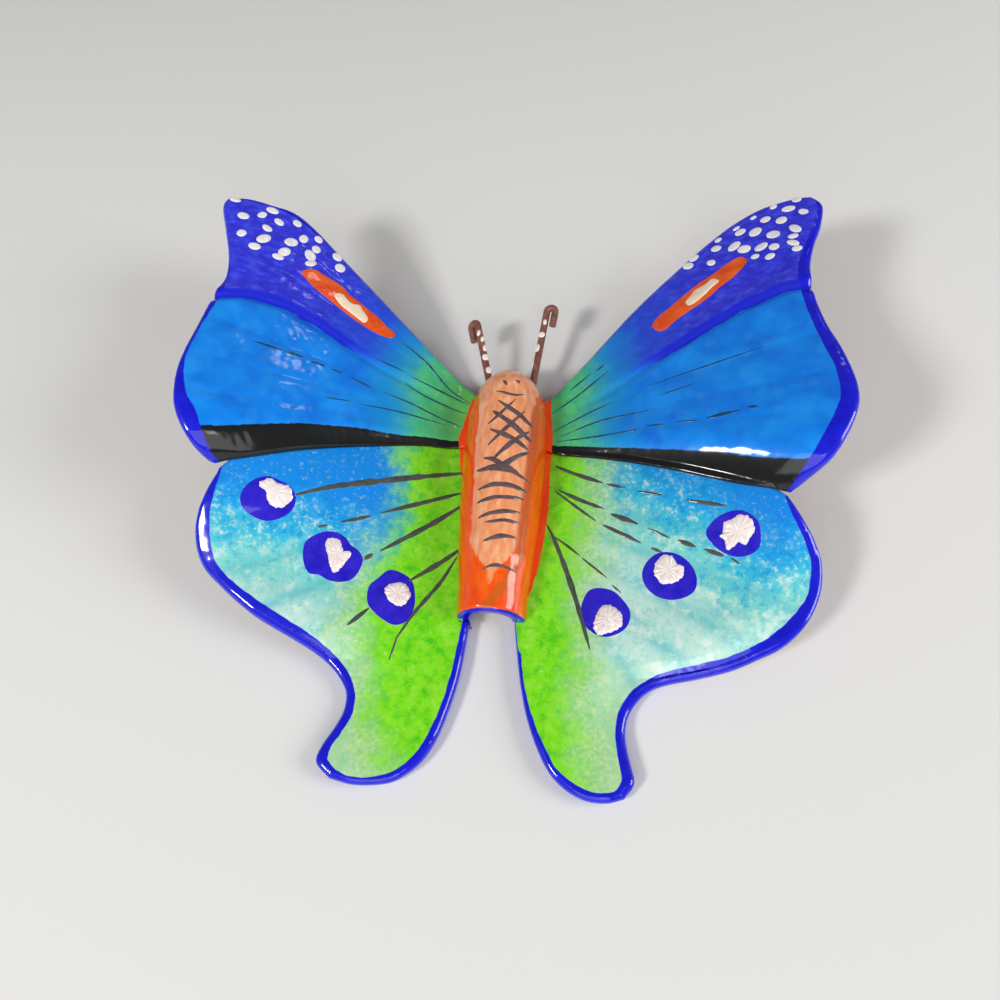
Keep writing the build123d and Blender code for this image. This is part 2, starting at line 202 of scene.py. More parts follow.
right = SimpleNamespace(
    name="right",
    sign=1,
    lead_px=[(550, 398, 1), (566, 383, 1), (597, 350, 2), (630, 314, 2), (663, 282, 2), (697, 250, 3),
        (730, 223, 3), (763, 204, 3), (795, 194, 3)],
    tip_px=[(811, 194, 4), (822, 204, 5)],
    margin_px=[(821, 225, 7), (814, 247, 9), (811, 270, 13), (816, 298, 12), (825, 320, 12),
        (839, 343, 14), (850, 363, 15), (859, 388, 19), (859, 408, 21), (848, 435, 22), (830, 460, 19)],
    notch_px=(790, 494),
    foot_px=[(745, 486), (700, 477), (650, 467), (600, 460), (555, 455)],
    hind_px=[(797, 513, 5), (807, 530, 6), (815, 547, 8), (820, 563, 9), (821, 582, 11), (818, 600, 12),
        (811, 617, 15), (799, 634, 17), (780, 650, 17), (757, 661, 15), (730, 672, 15), (697, 680, 15),
        (670, 685, 14), (652, 691, 12), (638, 702, 12), (628, 718, 11), (625, 735, 10), (627, 752, 10),
        (631, 768, 11)],
    hook_px=[(634, 785, 13), (624, 800, 13)],
    tail_px=[(607, 804, 11), (587, 802, 11), (567, 792, 11), (550, 775, 9), (537, 750, 8), (527, 720, 6),
        (521, 690, 4), (517, 655, 4)],
    furrow_px=[(600, 398), (630, 377), (663, 357), (690, 340), (717, 323), (743, 308), (782, 291),
        (806, 286)],
    band_px=[(553, 447), (567, 446), (597, 447), (663, 449), (717, 452), (763, 457), (830, 459)],
    fore_green_px=[(588, 352), (592, 373), (591, 393), (590, 413), (597, 445)],
    green_px=[(588, 445), (580, 480), (580, 515), (575, 550), (570, 583), (570, 617), (572, 683),
        (575, 750), (588, 800)],
    pale_px=[(590, 470), (610, 487), (640, 505), (680, 530), (720, 560), (757, 588), (790, 586),
        (840, 566)],
    orange_px=[(551, 400), (553, 440), (550, 475), (549, 505), (545, 535), (539, 565), (531, 590),
        (525, 606)],
    dots_px=[(796, 197, 10, 5, -10), (773, 204, 8, 4, -25), (788, 206, 14, 6, -12), (803, 209, 10, 6, 0),
        (753, 215, 7, 3, -28), (765, 217, 11, 6, -22), (781, 218, 12, 7, -18), (736, 226, 8, 3, -30),
        (795, 227, 13, 8, 15), (740, 230, 12, 6, -28), (755, 230, 14, 8, -30), (773, 233, 14, 8, -12),
        (793, 235, 11, 5, -12), (718, 238, 8, 4, -30), (734, 245, 15, 7, -38), (761, 246, 15, 7, -30),
        (793, 242, 13, 6, 8), (716, 247, 11, 6, -20), (744, 248, 14, 8, -15), (774, 246, 11, 7, -15),
        (797, 248, 11, 6, -12), (755, 256, 9, 5, -20), (770, 256, 11, 6, -25), (694, 257, 11, 5, -35),
        (688, 265, 11, 7, -15), (711, 262, 9, 6, -15)],
    lozenge_px=[(741, 256), (747, 260), (742, 268), (732, 278), (720, 287), (709, 297), (698, 305),
        (686, 313), (675, 321), (666, 329), (658, 331), (652, 326), (658, 317), (668, 309), (677, 301),
        (683, 296), (698, 284), (713, 274), (730, 261)],
    core_px=[(684, 303), (687, 307), (694, 304), (705, 295), (713, 287), (720, 281), (719, 279),
        (713, 278), (705, 284), (695, 290), (689, 297)],
    discs_px=[[(706, 532), (713, 521), (725, 513), (740, 510), (752, 515), (759, 523), (761, 535),
        (760, 546), (752, 554), (738, 557), (724, 553), (711, 543)], [(642, 575), (646, 563), (656, 554),
        (668, 552), (681, 556), (692, 566), (697, 579), (695, 590), (686, 597), (671, 600), (656, 596),
        (646, 587)], [(581, 610), (584, 598), (590, 590), (600, 588), (613, 591), (623, 600), (630, 611),
        (629, 623), (621, 632), (606, 637), (593, 633), (584, 624)]],
    dabs_px=[[(722, 532), (723, 523), (732, 518), (742, 514), (752, 519), (755, 530), (750, 540),
        (745, 546), (739, 543), (733, 548), (727, 551), (724, 542), (719, 537)], [(653, 572), (656, 561),
        (663, 555), (672, 556), (677, 563), (684, 567), (684, 576), (676, 583), (663, 585), (656, 579)],
        [(593, 624), (596, 614), (600, 607), (608, 604), (618, 609), (623, 617), (622, 626), (613, 632),
        (600, 635), (594, 631)]],
    fore_strokes_px=[([(570, 391), (590, 374)], 1.5), ([(552, 414), (580, 394), (608, 371)], 1.5),
        ([(596, 371), (604, 365)], 1.8), ([(553, 432), (585, 415), (612, 402)], 1.5),
        ([(560, 437), (600, 421), (650, 410)], 1.5), ([(556, 442), (600, 436), (626, 431)], 1.6),
        ([(645, 426), (665, 424)], 1.8), ([(675, 422), (698, 420)], 1.6), ([(706, 418), (740, 410)], 3.0),
        ([(748, 407), (758, 406)], 2.6), ([(648, 386), (700, 368), (765, 346)], 1.4),
        ([(660, 395), (695, 383)], 1.3), ([(600, 436), (640, 429)], 1.3)],
    hind_strokes_px=[([(555, 466), (575, 474), (603, 483)], 4.0), ([(607, 484), (625, 488)], 3.0),
        ([(637, 491), (662, 495)], 3.0), ([(687, 500), (727, 506)], 4.0),
        ([(558, 490), (580, 500), (604, 509)], 4.0), ([(611, 514), (638, 524)], 5.0),
        ([(648, 528), (670, 538)], 2.6), ([(678, 540), (696, 547)], 4.2), ([(704, 549), (724, 556)], 4.5),
        ([(731, 558), (740, 564)], 2.6), ([(555, 491), (575, 506), (596, 521)], 3.0),
        ([(603, 525), (641, 543)], 4.2), ([(651, 548), (662, 552)], 3.0),
        ([(547, 525), (554, 539), (567, 573), (578, 607), (590, 650)], 5.4),
        ([(553, 536), (566, 545), (580, 556)], 2.6), ([(582, 558), (607, 578)], 2.4),
        ([(612, 585), (621, 593)], 2.0)],
    antenna_dots_px=[(532, 365, 12, 6), (537, 348, 10, 7), (541.5, 334.5, 7, 7), (545, 322, 7, 4),
        (549, 330, 5, 5)])

# Strokes on the body: eyes, mouth, lattice and bars
body_strokes_px = [([(503.5, 379), (507, 385)], 3.4), ([(515.8, 377), (519.6, 383.5)], 3.4),
    ([(496, 391), (503, 392), (510, 394), (517, 395), (524, 394.5)], 2.6),
    ([(498, 400), (507, 406), (520, 415), (527, 422), (533, 428)], 4.4),
    ([(516, 399), (505, 409), (495, 418), (488, 424)], 3.0),
    ([(493, 411), (501, 416), (511, 423), (521, 432), (531, 442)], 6.2),
    ([(525, 411), (516, 419), (506, 428), (497, 436), (488, 445)], 3.8),
    ([(490, 429), (501, 433), (514, 439), (528, 450)], 5.2),
    ([(529, 432), (521, 436), (511, 443), (501, 451), (494, 458)], 5.2),
    ([(484, 458), (493, 459), (501, 464), (511, 469), (519, 474)], 6.0),
    ([(529, 453), (521, 455), (511, 460), (501, 466), (489, 468), (477, 471)], 6.6),
    ([(477, 471), (493, 469), (509, 471), (520, 476), (530, 484)], 3.4),
    ([(478, 490), (487, 486), (496, 484), (509, 485), (518, 488), (527, 493)], 5.0),
    ([(477, 503), (487, 499), (496, 497), (507, 497), (516, 498), (524, 500)], 4.6),
    ([(478, 518), (487, 514), (496, 512), (507, 511), (520, 513)], 4.4),
    ([(485, 522), (494, 521), (505, 520), (521, 524)], 3.6),
    ([(483, 541), (491, 538), (500, 536), (507, 536), (516, 538)], 4.4),
    ([(482, 570), (489, 566), (496, 565), (505, 567), (516, 572)], 3.4)]

forward = camera_target - camera_place
forward /= np.linalg.norm(forward)
camera_right = camera_right - forward * camera_right.dot(forward)
camera_right /= np.linalg.norm(camera_right)
camera_down = np.cross(forward, camera_right)


def smooth(low, high, value):
    t = np.clip((value - low) / (high - low), 0.0, 1.0)
    return t * t * (3 - 2 * t)


def rays(px):
    px = np.atleast_2d(np.array(px, float))
    return (forward + np.outer(px[:, 0] - image_px / 2, camera_right) / focal_px
            + np.outer(px[:, 1] - image_px / 2, camera_down) / focal_px)


def on_surface(px, top, lift=0.0):
    """Plan places where the photograph's pixels fall on a surface."""
    ray = rays(px)
    z = np.full(len(ray), seat_level)
    for _ in range(surface_tries):
        reach = (z - camera_place[2]) / ray[:, 2]
        place = camera_place[:2] + ray[:, :2] * reach[:, None]
        z = (z + top(place[:, 0], place[:, 1]) + lift) / 2
    return settle(place)


def settle(place):
    """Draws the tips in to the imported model's span and length, which are means of both sides."""
    x, y = place.T
    inwards = left_tip_shift * smooth(*left_tip_x, -x) * smooth(*left_tip_y, y)
    back = right_tip_shift * smooth(*right_tip_y, y) * (x > 0)
    return np.column_stack([x + inwards, y - back])


def pixels(vertices):
    """Where the photograph's camera sees places."""
    away = vertices - camera_place
    across = np.column_stack([away.dot(camera_right), away.dot(camera_down)])
    return across * focal_px / away.dot(forward)[:, None] + image_px / 2


def beyond(px, line_px):
    """Distance in pixels to a line, positive on the right of its course."""
    line = curve(line_px, line_count)
    distance, near = nearest(px, line)
    ahead = np.gradient(line, axis=0)[near]
    off = px - line[near]
    return distance * np.sign(ahead[:, 0] * off[:, 1] - ahead[:, 1] * off[:, 0])


def rim_layer(px, rim_px):
    """Distance in pixels from a wing's outline, less the rim's width."""
    line = curve(rim_px, rim_count)
    distance, near = nearest(px, line[:, :2])
    return distance - line[near, 2]


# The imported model's step line, in the plan of a right wing
step_x = np.array([4.8, 10.99, 25.2, 41.51, 56.98, 75.0])
step_y = np.array([10.27, 8.32, 4.42, -1.95, -8.32, -15.7])


def step_line(x):
    return np.interp(x, step_x, step_y)


def rise(x, y):
    tail, hind, fore = slope_places
    slope = (tail_slope + (hindwing_slope - tail_slope) * smooth(tail, hind, y)
             + (forewing_slope - hindwing_slope) * smooth(hind, fore, y))
    out = np.maximum(x - rise_start, 0.0)
    soft = np.where(out < hinge_softness, out * out / (2 * hinge_softness), out - hinge_softness / 2)
    return root_top + slope * soft


def polar(pole, x, y):
    return np.hypot(x - pole[0], y - pole[1]), np.degrees(np.arctan2(y - pole[1], x - pole[0]))


fore_reach_angles = [-19.8, -15.5, -5.6, 1.0, 9.1, 19.1, 28.1, 33.0, 35.0]
fore_reach = [64.3, 68.9, 71.6, 72.0, 70.9, 72.0, 80.2, 87.1, 88.4]
hind_reach_angles = [-73.8, -59.8, -51.6, -40.9, -31.5, -24.2, -16.6, -11.3, -6.0]
hind_reach = [68.3, 55.6, 50.4, 58.2, 64.9, 68.0, 69.4, 68.4, 63.3]


def margin_fall(angles, reaches, distance, angle):
    near = 1 - (np.interp(angle, angles, reaches) - distance) / margin_roll
    return margin_drop * np.clip(near, 0.0, 1.2) ** 2


def groove(depth, width, off):
    return depth * np.exp(-(off / (width / 2)) ** 2)


def ripples(x, y, size, seed):
    """Random bumps about size across, from sums of waves in every direction."""
    random = np.random.default_rng(seed)
    turn, phase = random.uniform(0, 2 * pi, (2, wave_count))
    wave = 2 * pi / (size * random.uniform(0.7, 1.8, wave_count))
    out = np.zeros(np.shape(x))
    for a, p, w in zip(turn, phase, wave):
        out = out + np.sin(w * (np.cos(a) * x + np.sin(a) * y) + p)
    return out / sqrt(wave_count)


def sponge(x, y):
    """The small dabs and dimples that a hand-worked, thickly varnished surface has."""
    return 0.014 * ripples(x, y, 1.9, 3) + 0.05 * ripples(x, y, 7.0, 5)


def veined(height, angles, strength, distance, angle):
    """A height less its shallow vein furrows."""
    for vein in angles:
        height = height - groove(vein_depth * strength, vein_width, np.radians(angle - vein) * distance)
    return height


def fore_base(sx, y):
    """Height of the forewings, for either side, but for the main furrow."""
    x = np.abs(sx)
    distance, angle = polar(fore_pole, x, y)
    outer = smooth(*fore_form, distance)
    crown = lip_height + (step_height - lip_height) * outer
    edge = lobe_edge_root + (lobe_edge_tip - lobe_edge_root) * outer
    behind = np.clip((y - step_line(x)) / edge, 0.0, 1.0)
    lobe = lip_height + (crown - lip_height) * (1 - (1 - behind) ** lobe_roundness)
    back = smooth(0.0, panel_furrow_angle - lobe_full_angle, panel_furrow_angle - angle)
    front = np.maximum(angle - panel_furrow_angle, 0.0) / (fore_last_angle - panel_furrow_angle)
    height = rise(x, y) + lobe * (front_lobe_share + (1 - front_lobe_share) * back)
    height = height - front_fall_share * crown * front ** 2
    inland = smooth(*fore_vein_fade, np.interp(angle, fore_reach_angles, fore_reach) - distance)
    height = veined(height, fore_vein_angles, outer * inland, distance, angle)
    return height - margin_fall(fore_reach_angles, fore_reach, distance, angle) * outer


def furrow_bearing(px):
    """The main furrow's bearings from the forewing's pole, at its distances."""
    place = on_surface(px, fore_base)
    distance, angle = polar(fore_pole, np.abs(place[:, 0]), place[:, 1])
    order = np.argsort(distance)
    return distance[order], angle[order]


left.furrow, right.furrow = furrow_bearing(left.furrow_px), furrow_bearing(right.furrow_px)


def furrow_offset(sx, y):
    """Distance from the main furrow, positive ahead of it."""
    distance, angle = polar(fore_pole, np.abs(sx), y)
    bearing = np.where(sx < 0, np.interp(distance, *left.furrow), np.interp(distance, *right.furrow))
    return np.radians(angle - bearing) * distance


def fore_top(sx, y):
    distance, _ = polar(fore_pole, np.abs(sx), y)
    outer = smooth(*fore_form, distance)
    off = furrow_offset(sx, y)
    return (fore_base(sx, y) - groove(furrow_depth * outer, furrow_width, off)
            + groove(furrow_ridge * outer, 2 * furrow_width, off - furrow_width))


def hind_top(sx, y):
    x = np.abs(sx)
    distance, angle = polar(hind_pole, x, y)
    outer = smooth(*hind_form, distance)
    inland = smooth(*hind_vein_fade, np.interp(angle, hind_reach_angles, hind_reach) - distance)
    height = veined(rise(x, y), hind_vein_angles, outer * inland, distance, angle)
    roll = smooth(*hind_roll, y)
    return height - margin_fall(hind_reach_angles, hind_reach, distance, angle) * outer * roll


def fore_skin(x, y):
    return fore_top(x, y) + sponge(x, y)


def hind_skin(x, y):
    return hind_top(x, y) + sponge(x, y)


def fore_under(x, y):
    lap = step_line(np.abs(x)) + lap_width * smooth(lap_from, lap_full, np.abs(x))
    bottom = np.maximum(fore_top(x, y) - wing_thickness, 0.0)
    return np.where(y < lap, np.maximum(bottom, hind_top(x, y) + slip_joint), bottom)


def hind_under(x, y):
    return np.maximum(hind_top(x, y) - wing_thickness, 0.0)


def body_half(share):
    """The body's half width and height at a share of its length."""
    t = np.clip((share - 1) * body_length / nose_length + 1, 0.0, 1.0)
    nose = np.sqrt(np.maximum(1 - t * t, 0.0))
    return (body_half_width * np.interp(share, body_stations, body_width_shares) * nose,
            body_height * np.interp(share, body_stations, body_height_shares) * nose)


def body_bumps(x, y):
    return 0.04 * ripples(x, y, 4.0, 9) + 0.02 * ripples(x, y / 4, 1.2, 8)


def body_skin(x, y):
    w, h = body_half(np.clip((y - body_tail) / body_length, 0.0, 0.9995))
    round_off = np.sqrt(np.maximum(1 - (x / np.maximum(w, 0.01)) ** 2, 0.0))
    return seat_level + (h + body_bumps(x, y)) * round_off


def curve(points, count, closed=False):
    """Evenly spaced places on a smooth line through points."""
    p = np.array(points, float)
    if closed:
        p = np.vstack([p[-1:], p, p[:2]])
    else:
        p = np.vstack([2 * p[0] - p[1], p, 2 * p[-1] - p[-2]])
    fine = []
    for a, b, c, d in zip(p, p[1:], p[2:], p[3:]):
        t = np.linspace(0, 1, curve_steps, endpoint=False)[:, None]
        fine.append(0.5 * (2 * b + (c - a) * t + (2 * a - 5 * b + 4 * c - d) * t ** 2
                           + (3 * b - a - 3 * c + d) * t ** 3))
    fine = np.vstack(fine + [p[-2:-1]])
    run = np.concatenate([[0], np.cumsum(np.linalg.norm(np.diff(fine, axis=0), axis=1))])
    at = np.linspace(0, run[-1], count + closed)[:count]
    return np.stack([np.interp(at, run, fine[:, k]) for k in range(fine.shape[1])], -1)


def place_object(name, data):
    thing = bpy.data.objects.new(name, data)
    bpy.context.scene.collection.objects.link(thing)
    return thing


def make_mesh(name, vertices, faces, material, node=None, layers=None, sharp=None):
    """A piece of the ornament from places in millimetres."""
    mesh = bpy.data.meshes.new(name)
    mesh.from_pydata((np.array(vertices) * MM).tolist(), [], faces)
    shape = bmesh.new()
    shape.from_mesh(mesh)
    bmesh.ops.recalc_face_normals(shape, faces=shape.faces)
    shape.to_mesh(mesh)
    shape.free()
    for layer, values in (layers or {}).items():
        data = mesh.attributes.new(layer, "FLOAT", "POINT")
        data.data.foreach_set("value", np.array(values, np.float32))
    mesh.shade_smooth()
    if sharp:
        mesh.set_sharp_from_angle(angle=radians(sharp))
    mesh.materials.append(material)
    mesh.update()
    piece = place_object(name, mesh)
    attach(piece, "root")
    if node:
        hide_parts(node)


class Paint:
    """Wraps a material's nodes in short calls."""

    def __init__(self, name):
        self.material = bpy.data.materials.new(name)
        self.material.use_nodes = True
        self.tree = self.material.node_tree
        self.shader = self.tree.nodes["Principled BSDF"]
        self.place = self.new("ShaderNodeTexCoord").outputs["Object"]

    def new(self, kind, inputs=None, **settings):
        node = self.tree.nodes.new(kind)
        for key, value in settings.items():
            setattr(node, key, value)
        self.feed(node, inputs or {})
        return node

    def feed(self, node, inputs):
        """Gives a node's inputs their values, or links them to other nodes' outputs."""
        for key, value in inputs.items():
            if isinstance(value, bpy.types.NodeSocket):
                self.tree.links.new(value, node.inputs[key])
            else:
                node.inputs[key].default_value = value

    def layer(self, name):
        return self.new("ShaderNodeAttribute", attribute_name=name).outputs["Fac"]

    def math(self, operation, *values):
        return self.new("ShaderNodeMath", dict(enumerate(values)), operation=operation).outputs[0]

    def times(self, a, b):
        return self.math("MULTIPLY", a, b)

    def plus(self, a, b):
        return self.math("ADD", a, b)

    def swing(self, noise, amount):
        """Noise from 0 to 1, turned into a value from minus amount to amount."""
        return self.math("MULTIPLY_ADD", noise, 2 * amount, -amount)

    def scaled(self, x, y, z):
        """Object coordinates stretched, so that noise on them makes streaks."""
        return self.new("ShaderNodeMapping", {"Vector": self.place, "Scale": (x, y, z)}).outputs[0]

    def noise(self, size, detail=3.0, rough=0.5, place=None):
        """Noise whose features are about size millimetres across, from 0 to 1."""
        inputs = {"Scale": 1 / (size * MM), "Detail": detail, "Roughness": rough,
                  "Vector": place or self.place}
        return self.new("ShaderNodeTexNoise", inputs).outputs["Fac"]

    def cells(self, size):
        inputs = {"Scale": 1 / (size * MM), "Vector": self.place}
        return self.new("ShaderNodeTexVoronoi", inputs, feature="SMOOTH_F1").outputs["Distance"]

    def step(self, value, low, high):
        inputs = {"Value": value, "From Min": low, "From Max": high}
        return self.new("ShaderNodeMapRange", inputs, interpolation_type="SMOOTHSTEP").outputs[0]

    def wavered(self, value, size, amount):
        """A value that noise moves up and down by amount."""
        return self.plus(value, self.swing(self.noise(size), amount))

    def blend(self, factor, a, b, share=None):
        """Colour a with b laid over it, by a factor and, where given, a share of it."""
        if share:
            factor = self.times(factor, share)
        return self.new("ShaderNodeMix", {0: factor, 6: a, 7: b}, data_type="RGBA").outputs[2]

    def coat(self, factor, colour, share=None):
        """Lays a colour over what the material has so far."""
        self.base = self.blend(factor, self.base, colour, share)

    def ramp(self, value, stops):
        node = self.new("ShaderNodeValToRGB", {"Fac": value})
        band = node.color_ramp
        while len(band.elements) < len(stops):
            band.elements.new(0.5)
        for stop, (place, colour) in zip(band.elements, stops):
            stop.position, stop.color = place, colour
        return node.outputs["Color"]

    def relief(self, height, strength, depth_mm):
        inputs = {"Strength": strength, "Distance": depth_mm * MM, "Height": height}
        bump = self.new("ShaderNodeBump", inputs)
        self.feed(self.shader, {"Normal": bump.outputs["Normal"]})

    def gloss(self, roughness, coat, coat_roughness):
        self.feed(self.shader, {"Roughness": roughness, "Specular IOR Level": 0.1,
                                "Coat Weight": coat, "Coat Roughness": coat_roughness})

    def colour(self, value):
        self.feed(self.shader, {"Base Color": value})
        return self.material


def rgb(red, green, blue):
    """A colour as a screen shows it, from 0 to 255, made linear."""
    part = np.array([red, green, blue]) / 255
    linear = np.where(part <= 0.04045, part / 12.92, ((part + 0.055) / 1.055) ** 2.4)
    return (*linear.tolist(), 1.0)


ultramarine = rgb(4, 8, 194)
violet = rgb(50, 54, 222)
deep_blue = rgb(16, 32, 200)
azure = rgb(0, 132, 238)
black = rgb(10, 12, 14)
orange = rgb(248, 84, 0)
salmon = rgb(244, 158, 110)
lime = rgb(122, 222, 12)
meadow = rgb(84, 194, 120)


def bare_clay(paint):
    return paint.ramp(paint.noise(6.0, 5), [(0.3, rgb(150, 86, 58)), (0.7, rgb(178, 110, 76))])


def orange_paint(paint):
    return paint.ramp(paint.noise(2.5, 4, 0.6, paint.scaled(1, 0.25, 1)),
                      [(0.3, rgb(234, 66, 0)), (0.55, orange), (0.75, rgb(252, 114, 24))])


def finish_wing(p):
    """What both kinds of wing share: the body's orange, the rim, the bare back and varnish."""
    orange_edge = p.wavered(p.layer("root"), 1.5, 0.3)
    p.coat(p.step(orange_edge, 0.12, -0.12), orange_paint(p))
    rim = p.step(p.wavered(p.layer("rim"), 2.2, 1.2), 0.5, -0.5)
    p.coat(rim, p.ramp(p.noise(3.0), [(0.35, ultramarine), (0.7, rgb(18, 22, 212))]))
    p.coat(p.layer("under"), bare_clay(p))
    p.gloss(0.45, 1.0, 0.11)
    p.relief(p.plus(p.cells(2.2), p.times(p.noise(0.7, 2), 0.3)), 0.12, 0.12)
    return p.colour(p.base)


def forewing_paint():
    p = Paint("forewing_paint")
    mottle, dapple = p.noise(2.4, 4, 0.6), p.noise(6.0, 3)
    field = p.ramp(dapple, [(0.3, rgb(0, 114, 226)), (0.5, azure), (0.7, rgb(18, 148, 248))])
    field = p.blend(p.step(mottle, 0.52, 0.7), field, rgb(36, 128, 238), 0.3)
    field = p.blend(p.step(p.cells(4.2), 0.34, 0.2), field, rgb(44, 152, 238), 0.3)
    brushed = p.noise(1.6, 4, 0.6, p.scaled(0.5, 1, 1))
    lead = p.ramp(brushed, [(0.3, rgb(42, 38, 204)), (0.5, violet), (0.72, rgb(74, 90, 242))])
    furrow = p.wavered(p.layer("furrow"), 4.0, 0.5)
    near_root = p.step(p.layer("green"), -150.0, -20.0)
    lead = p.blend(near_root, lead, rgb(16, 84, 214), 0.75)
    p.base = p.blend(p.step(furrow, 0.1, 1.1), field, lead)
    line = p.times(p.step(furrow, -0.5, 0.0), p.step(furrow, 2.6, 1.4))
    line = p.times(line, p.step(near_root, 1.0, 0.6))
    p.coat(line, deep_blue)
    green = p.plus(p.layer("green"), p.swing(dapple, 15.0))
    p.coat(p.step(green, -60.0, -8.0), rgb(14, 146, 212), 0.9)
    grass = p.ramp(mottle, [(0.35, rgb(60, 182, 126)), (0.6, meadow), (0.75, rgb(114, 210, 98))])
    p.coat(p.step(green, -24.0, 22.0), grass)
    p.coat(p.step(green, 22.0, 64.0), rgb(110, 204, 58), 0.6)
    p.coat(p.step(p.wavered(p.layer("band"), 2.0, 1.2), -0.8, 0.8), black)
    return finish_wing(p)


def hindwing_paint():
    p = Paint("hindwing_paint")
    fine, mottle, dapple = p.noise(0.9, 5, 0.7), p.noise(2.4, 5, 0.66), p.noise(6.5, 3, 0.55)
    wander = p.plus(p.swing(mottle, 25.0), p.swing(dapple, 25.0))
    pale = p.math("MULTIPLY_ADD", p.plus(p.layer("pale"), wander), 0.0055, 0.5)
    p.base = p.ramp(pale, [(0.12, rgb(4, 134, 226)), (0.34, rgb(22, 162, 224)), (0.47, rgb(56, 188, 218)),
                           (0.6, rgb(124, 212, 204)), (0.85, rgb(186, 226, 214))])
    watery = p.times(p.step(fine, 0.48, 0.64), p.step(pale, 0.1, 0.45))
    p.coat(watery, rgb(44, 182, 190), 0.5)
    light = p.times(p.step(p.plus(fine, mottle), 1.0, 1.26), p.step(pale, 0.12, 0.5))
    p.coat(light, rgb(214, 236, 222), 0.72)
    shade = p.times(p.step(mottle, 0.48, 0.36), p.step(pale, 0.8, 0.5))
    p.coat(shade, rgb(0, 134, 206), 0.5)
    blots = p.times(p.step(p.noise(3.4, 4, 0.55), 0.53, 0.66), p.step(pale, 0.35, 0.7))
    p.coat(blots, rgb(228, 240, 232), 0.6)
    inked = p.times(p.times(p.layer("veins"), p.step(mottle, 0.36, 0.58)), p.step(pale, 0.3, 0.55))
    p.coat(inked, rgb(58, 184, 194), 0.7)
    yellow = p.ramp(mottle, [(0.35, rgb(132, 206, 120)), (0.65, rgb(196, 224, 164))])
    p.coat(p.step(p.layer("row"), 640.0, 740.0), yellow, 0.72)
    grassy = p.plus(p.layer("green"), wander)
    edge = p.times(p.step(grassy, -60.0, -10.0), p.step(p.layer("pale"), -70.0, 20.0))
    cream = p.ramp(fine, [(0.4, rgb(132, 208, 118)), (0.62, rgb(204, 226, 164))])
    p.coat(edge, cream, 0.8)
    grass = p.ramp(mottle, [(0.33, rgb(70, 196, 24)), (0.5, lime), (0.66, rgb(144, 226, 52)),
                            (0.8, rgb(196, 232, 120))])
    p.coat(p.step(grassy, -30.0, 20.0), grass)
    p.coat(p.step(fine, 0.56, 0.7), rgb(222, 236, 170), 0.3)
    return finish_wing(p)


def patch_grid(front, back, root, margin):
    """A grid between four joined lines: front and back run outwards, root and margin
    run from back to front."""
    nu, nv = len(front), len(root)
    u = np.linspace(0, 1, nu)[:, None, None]
    v = np.linspace(0, 1, nv)[None, :, None]
    sides = (1 - v) * back[:, None] + v * front[:, None] + (1 - u) * root[None] + u * margin[None]
    corners = ((1 - u) * (1 - v) * back[0] + (1 - u) * v * front[0]
               + u * (1 - v) * back[-1] + u * v * front[-1])
    return sides - corners


def ring_of(nu, nv):
    """Indices of a grid's edge, in order round it."""
    index = np.arange(nu * nv).reshape(nu, nv)
    return np.concatenate([index[:-1, 0], index[-1, :-1], index[:0:-1, -1], index[0, :0:-1]])


def nearest(points, line):
    """Distance to a line's points, and the index of the nearest."""
    distance, index = [], []
    for part in np.array_split(points, max(len(points) // 4000, 1)):
        gaps = np.linalg.norm(part[:, None] - line[None], axis=2)
        index.append(gaps.argmin(1))
        distance.append(gaps.min(1))
    return np.concatenate(distance), np.concatenate(index)


def stitch(loops):
    """Quads between closed loops of indices."""
    faces = []
    for a, b in zip(loops, loops[1:]):
        faces += np.stack([a, b, np.roll(b, -1), np.roll(a, -1)], -1).tolist()
    return faces


def quads_of(index):
    """Quads between the neighbours of a table of indices."""
    corners = (index[:-1, :-1], index[1:, :-1], index[1:, 1:], index[:-1, 1:])
    return np.stack(corners, -1).reshape(-1, 4)


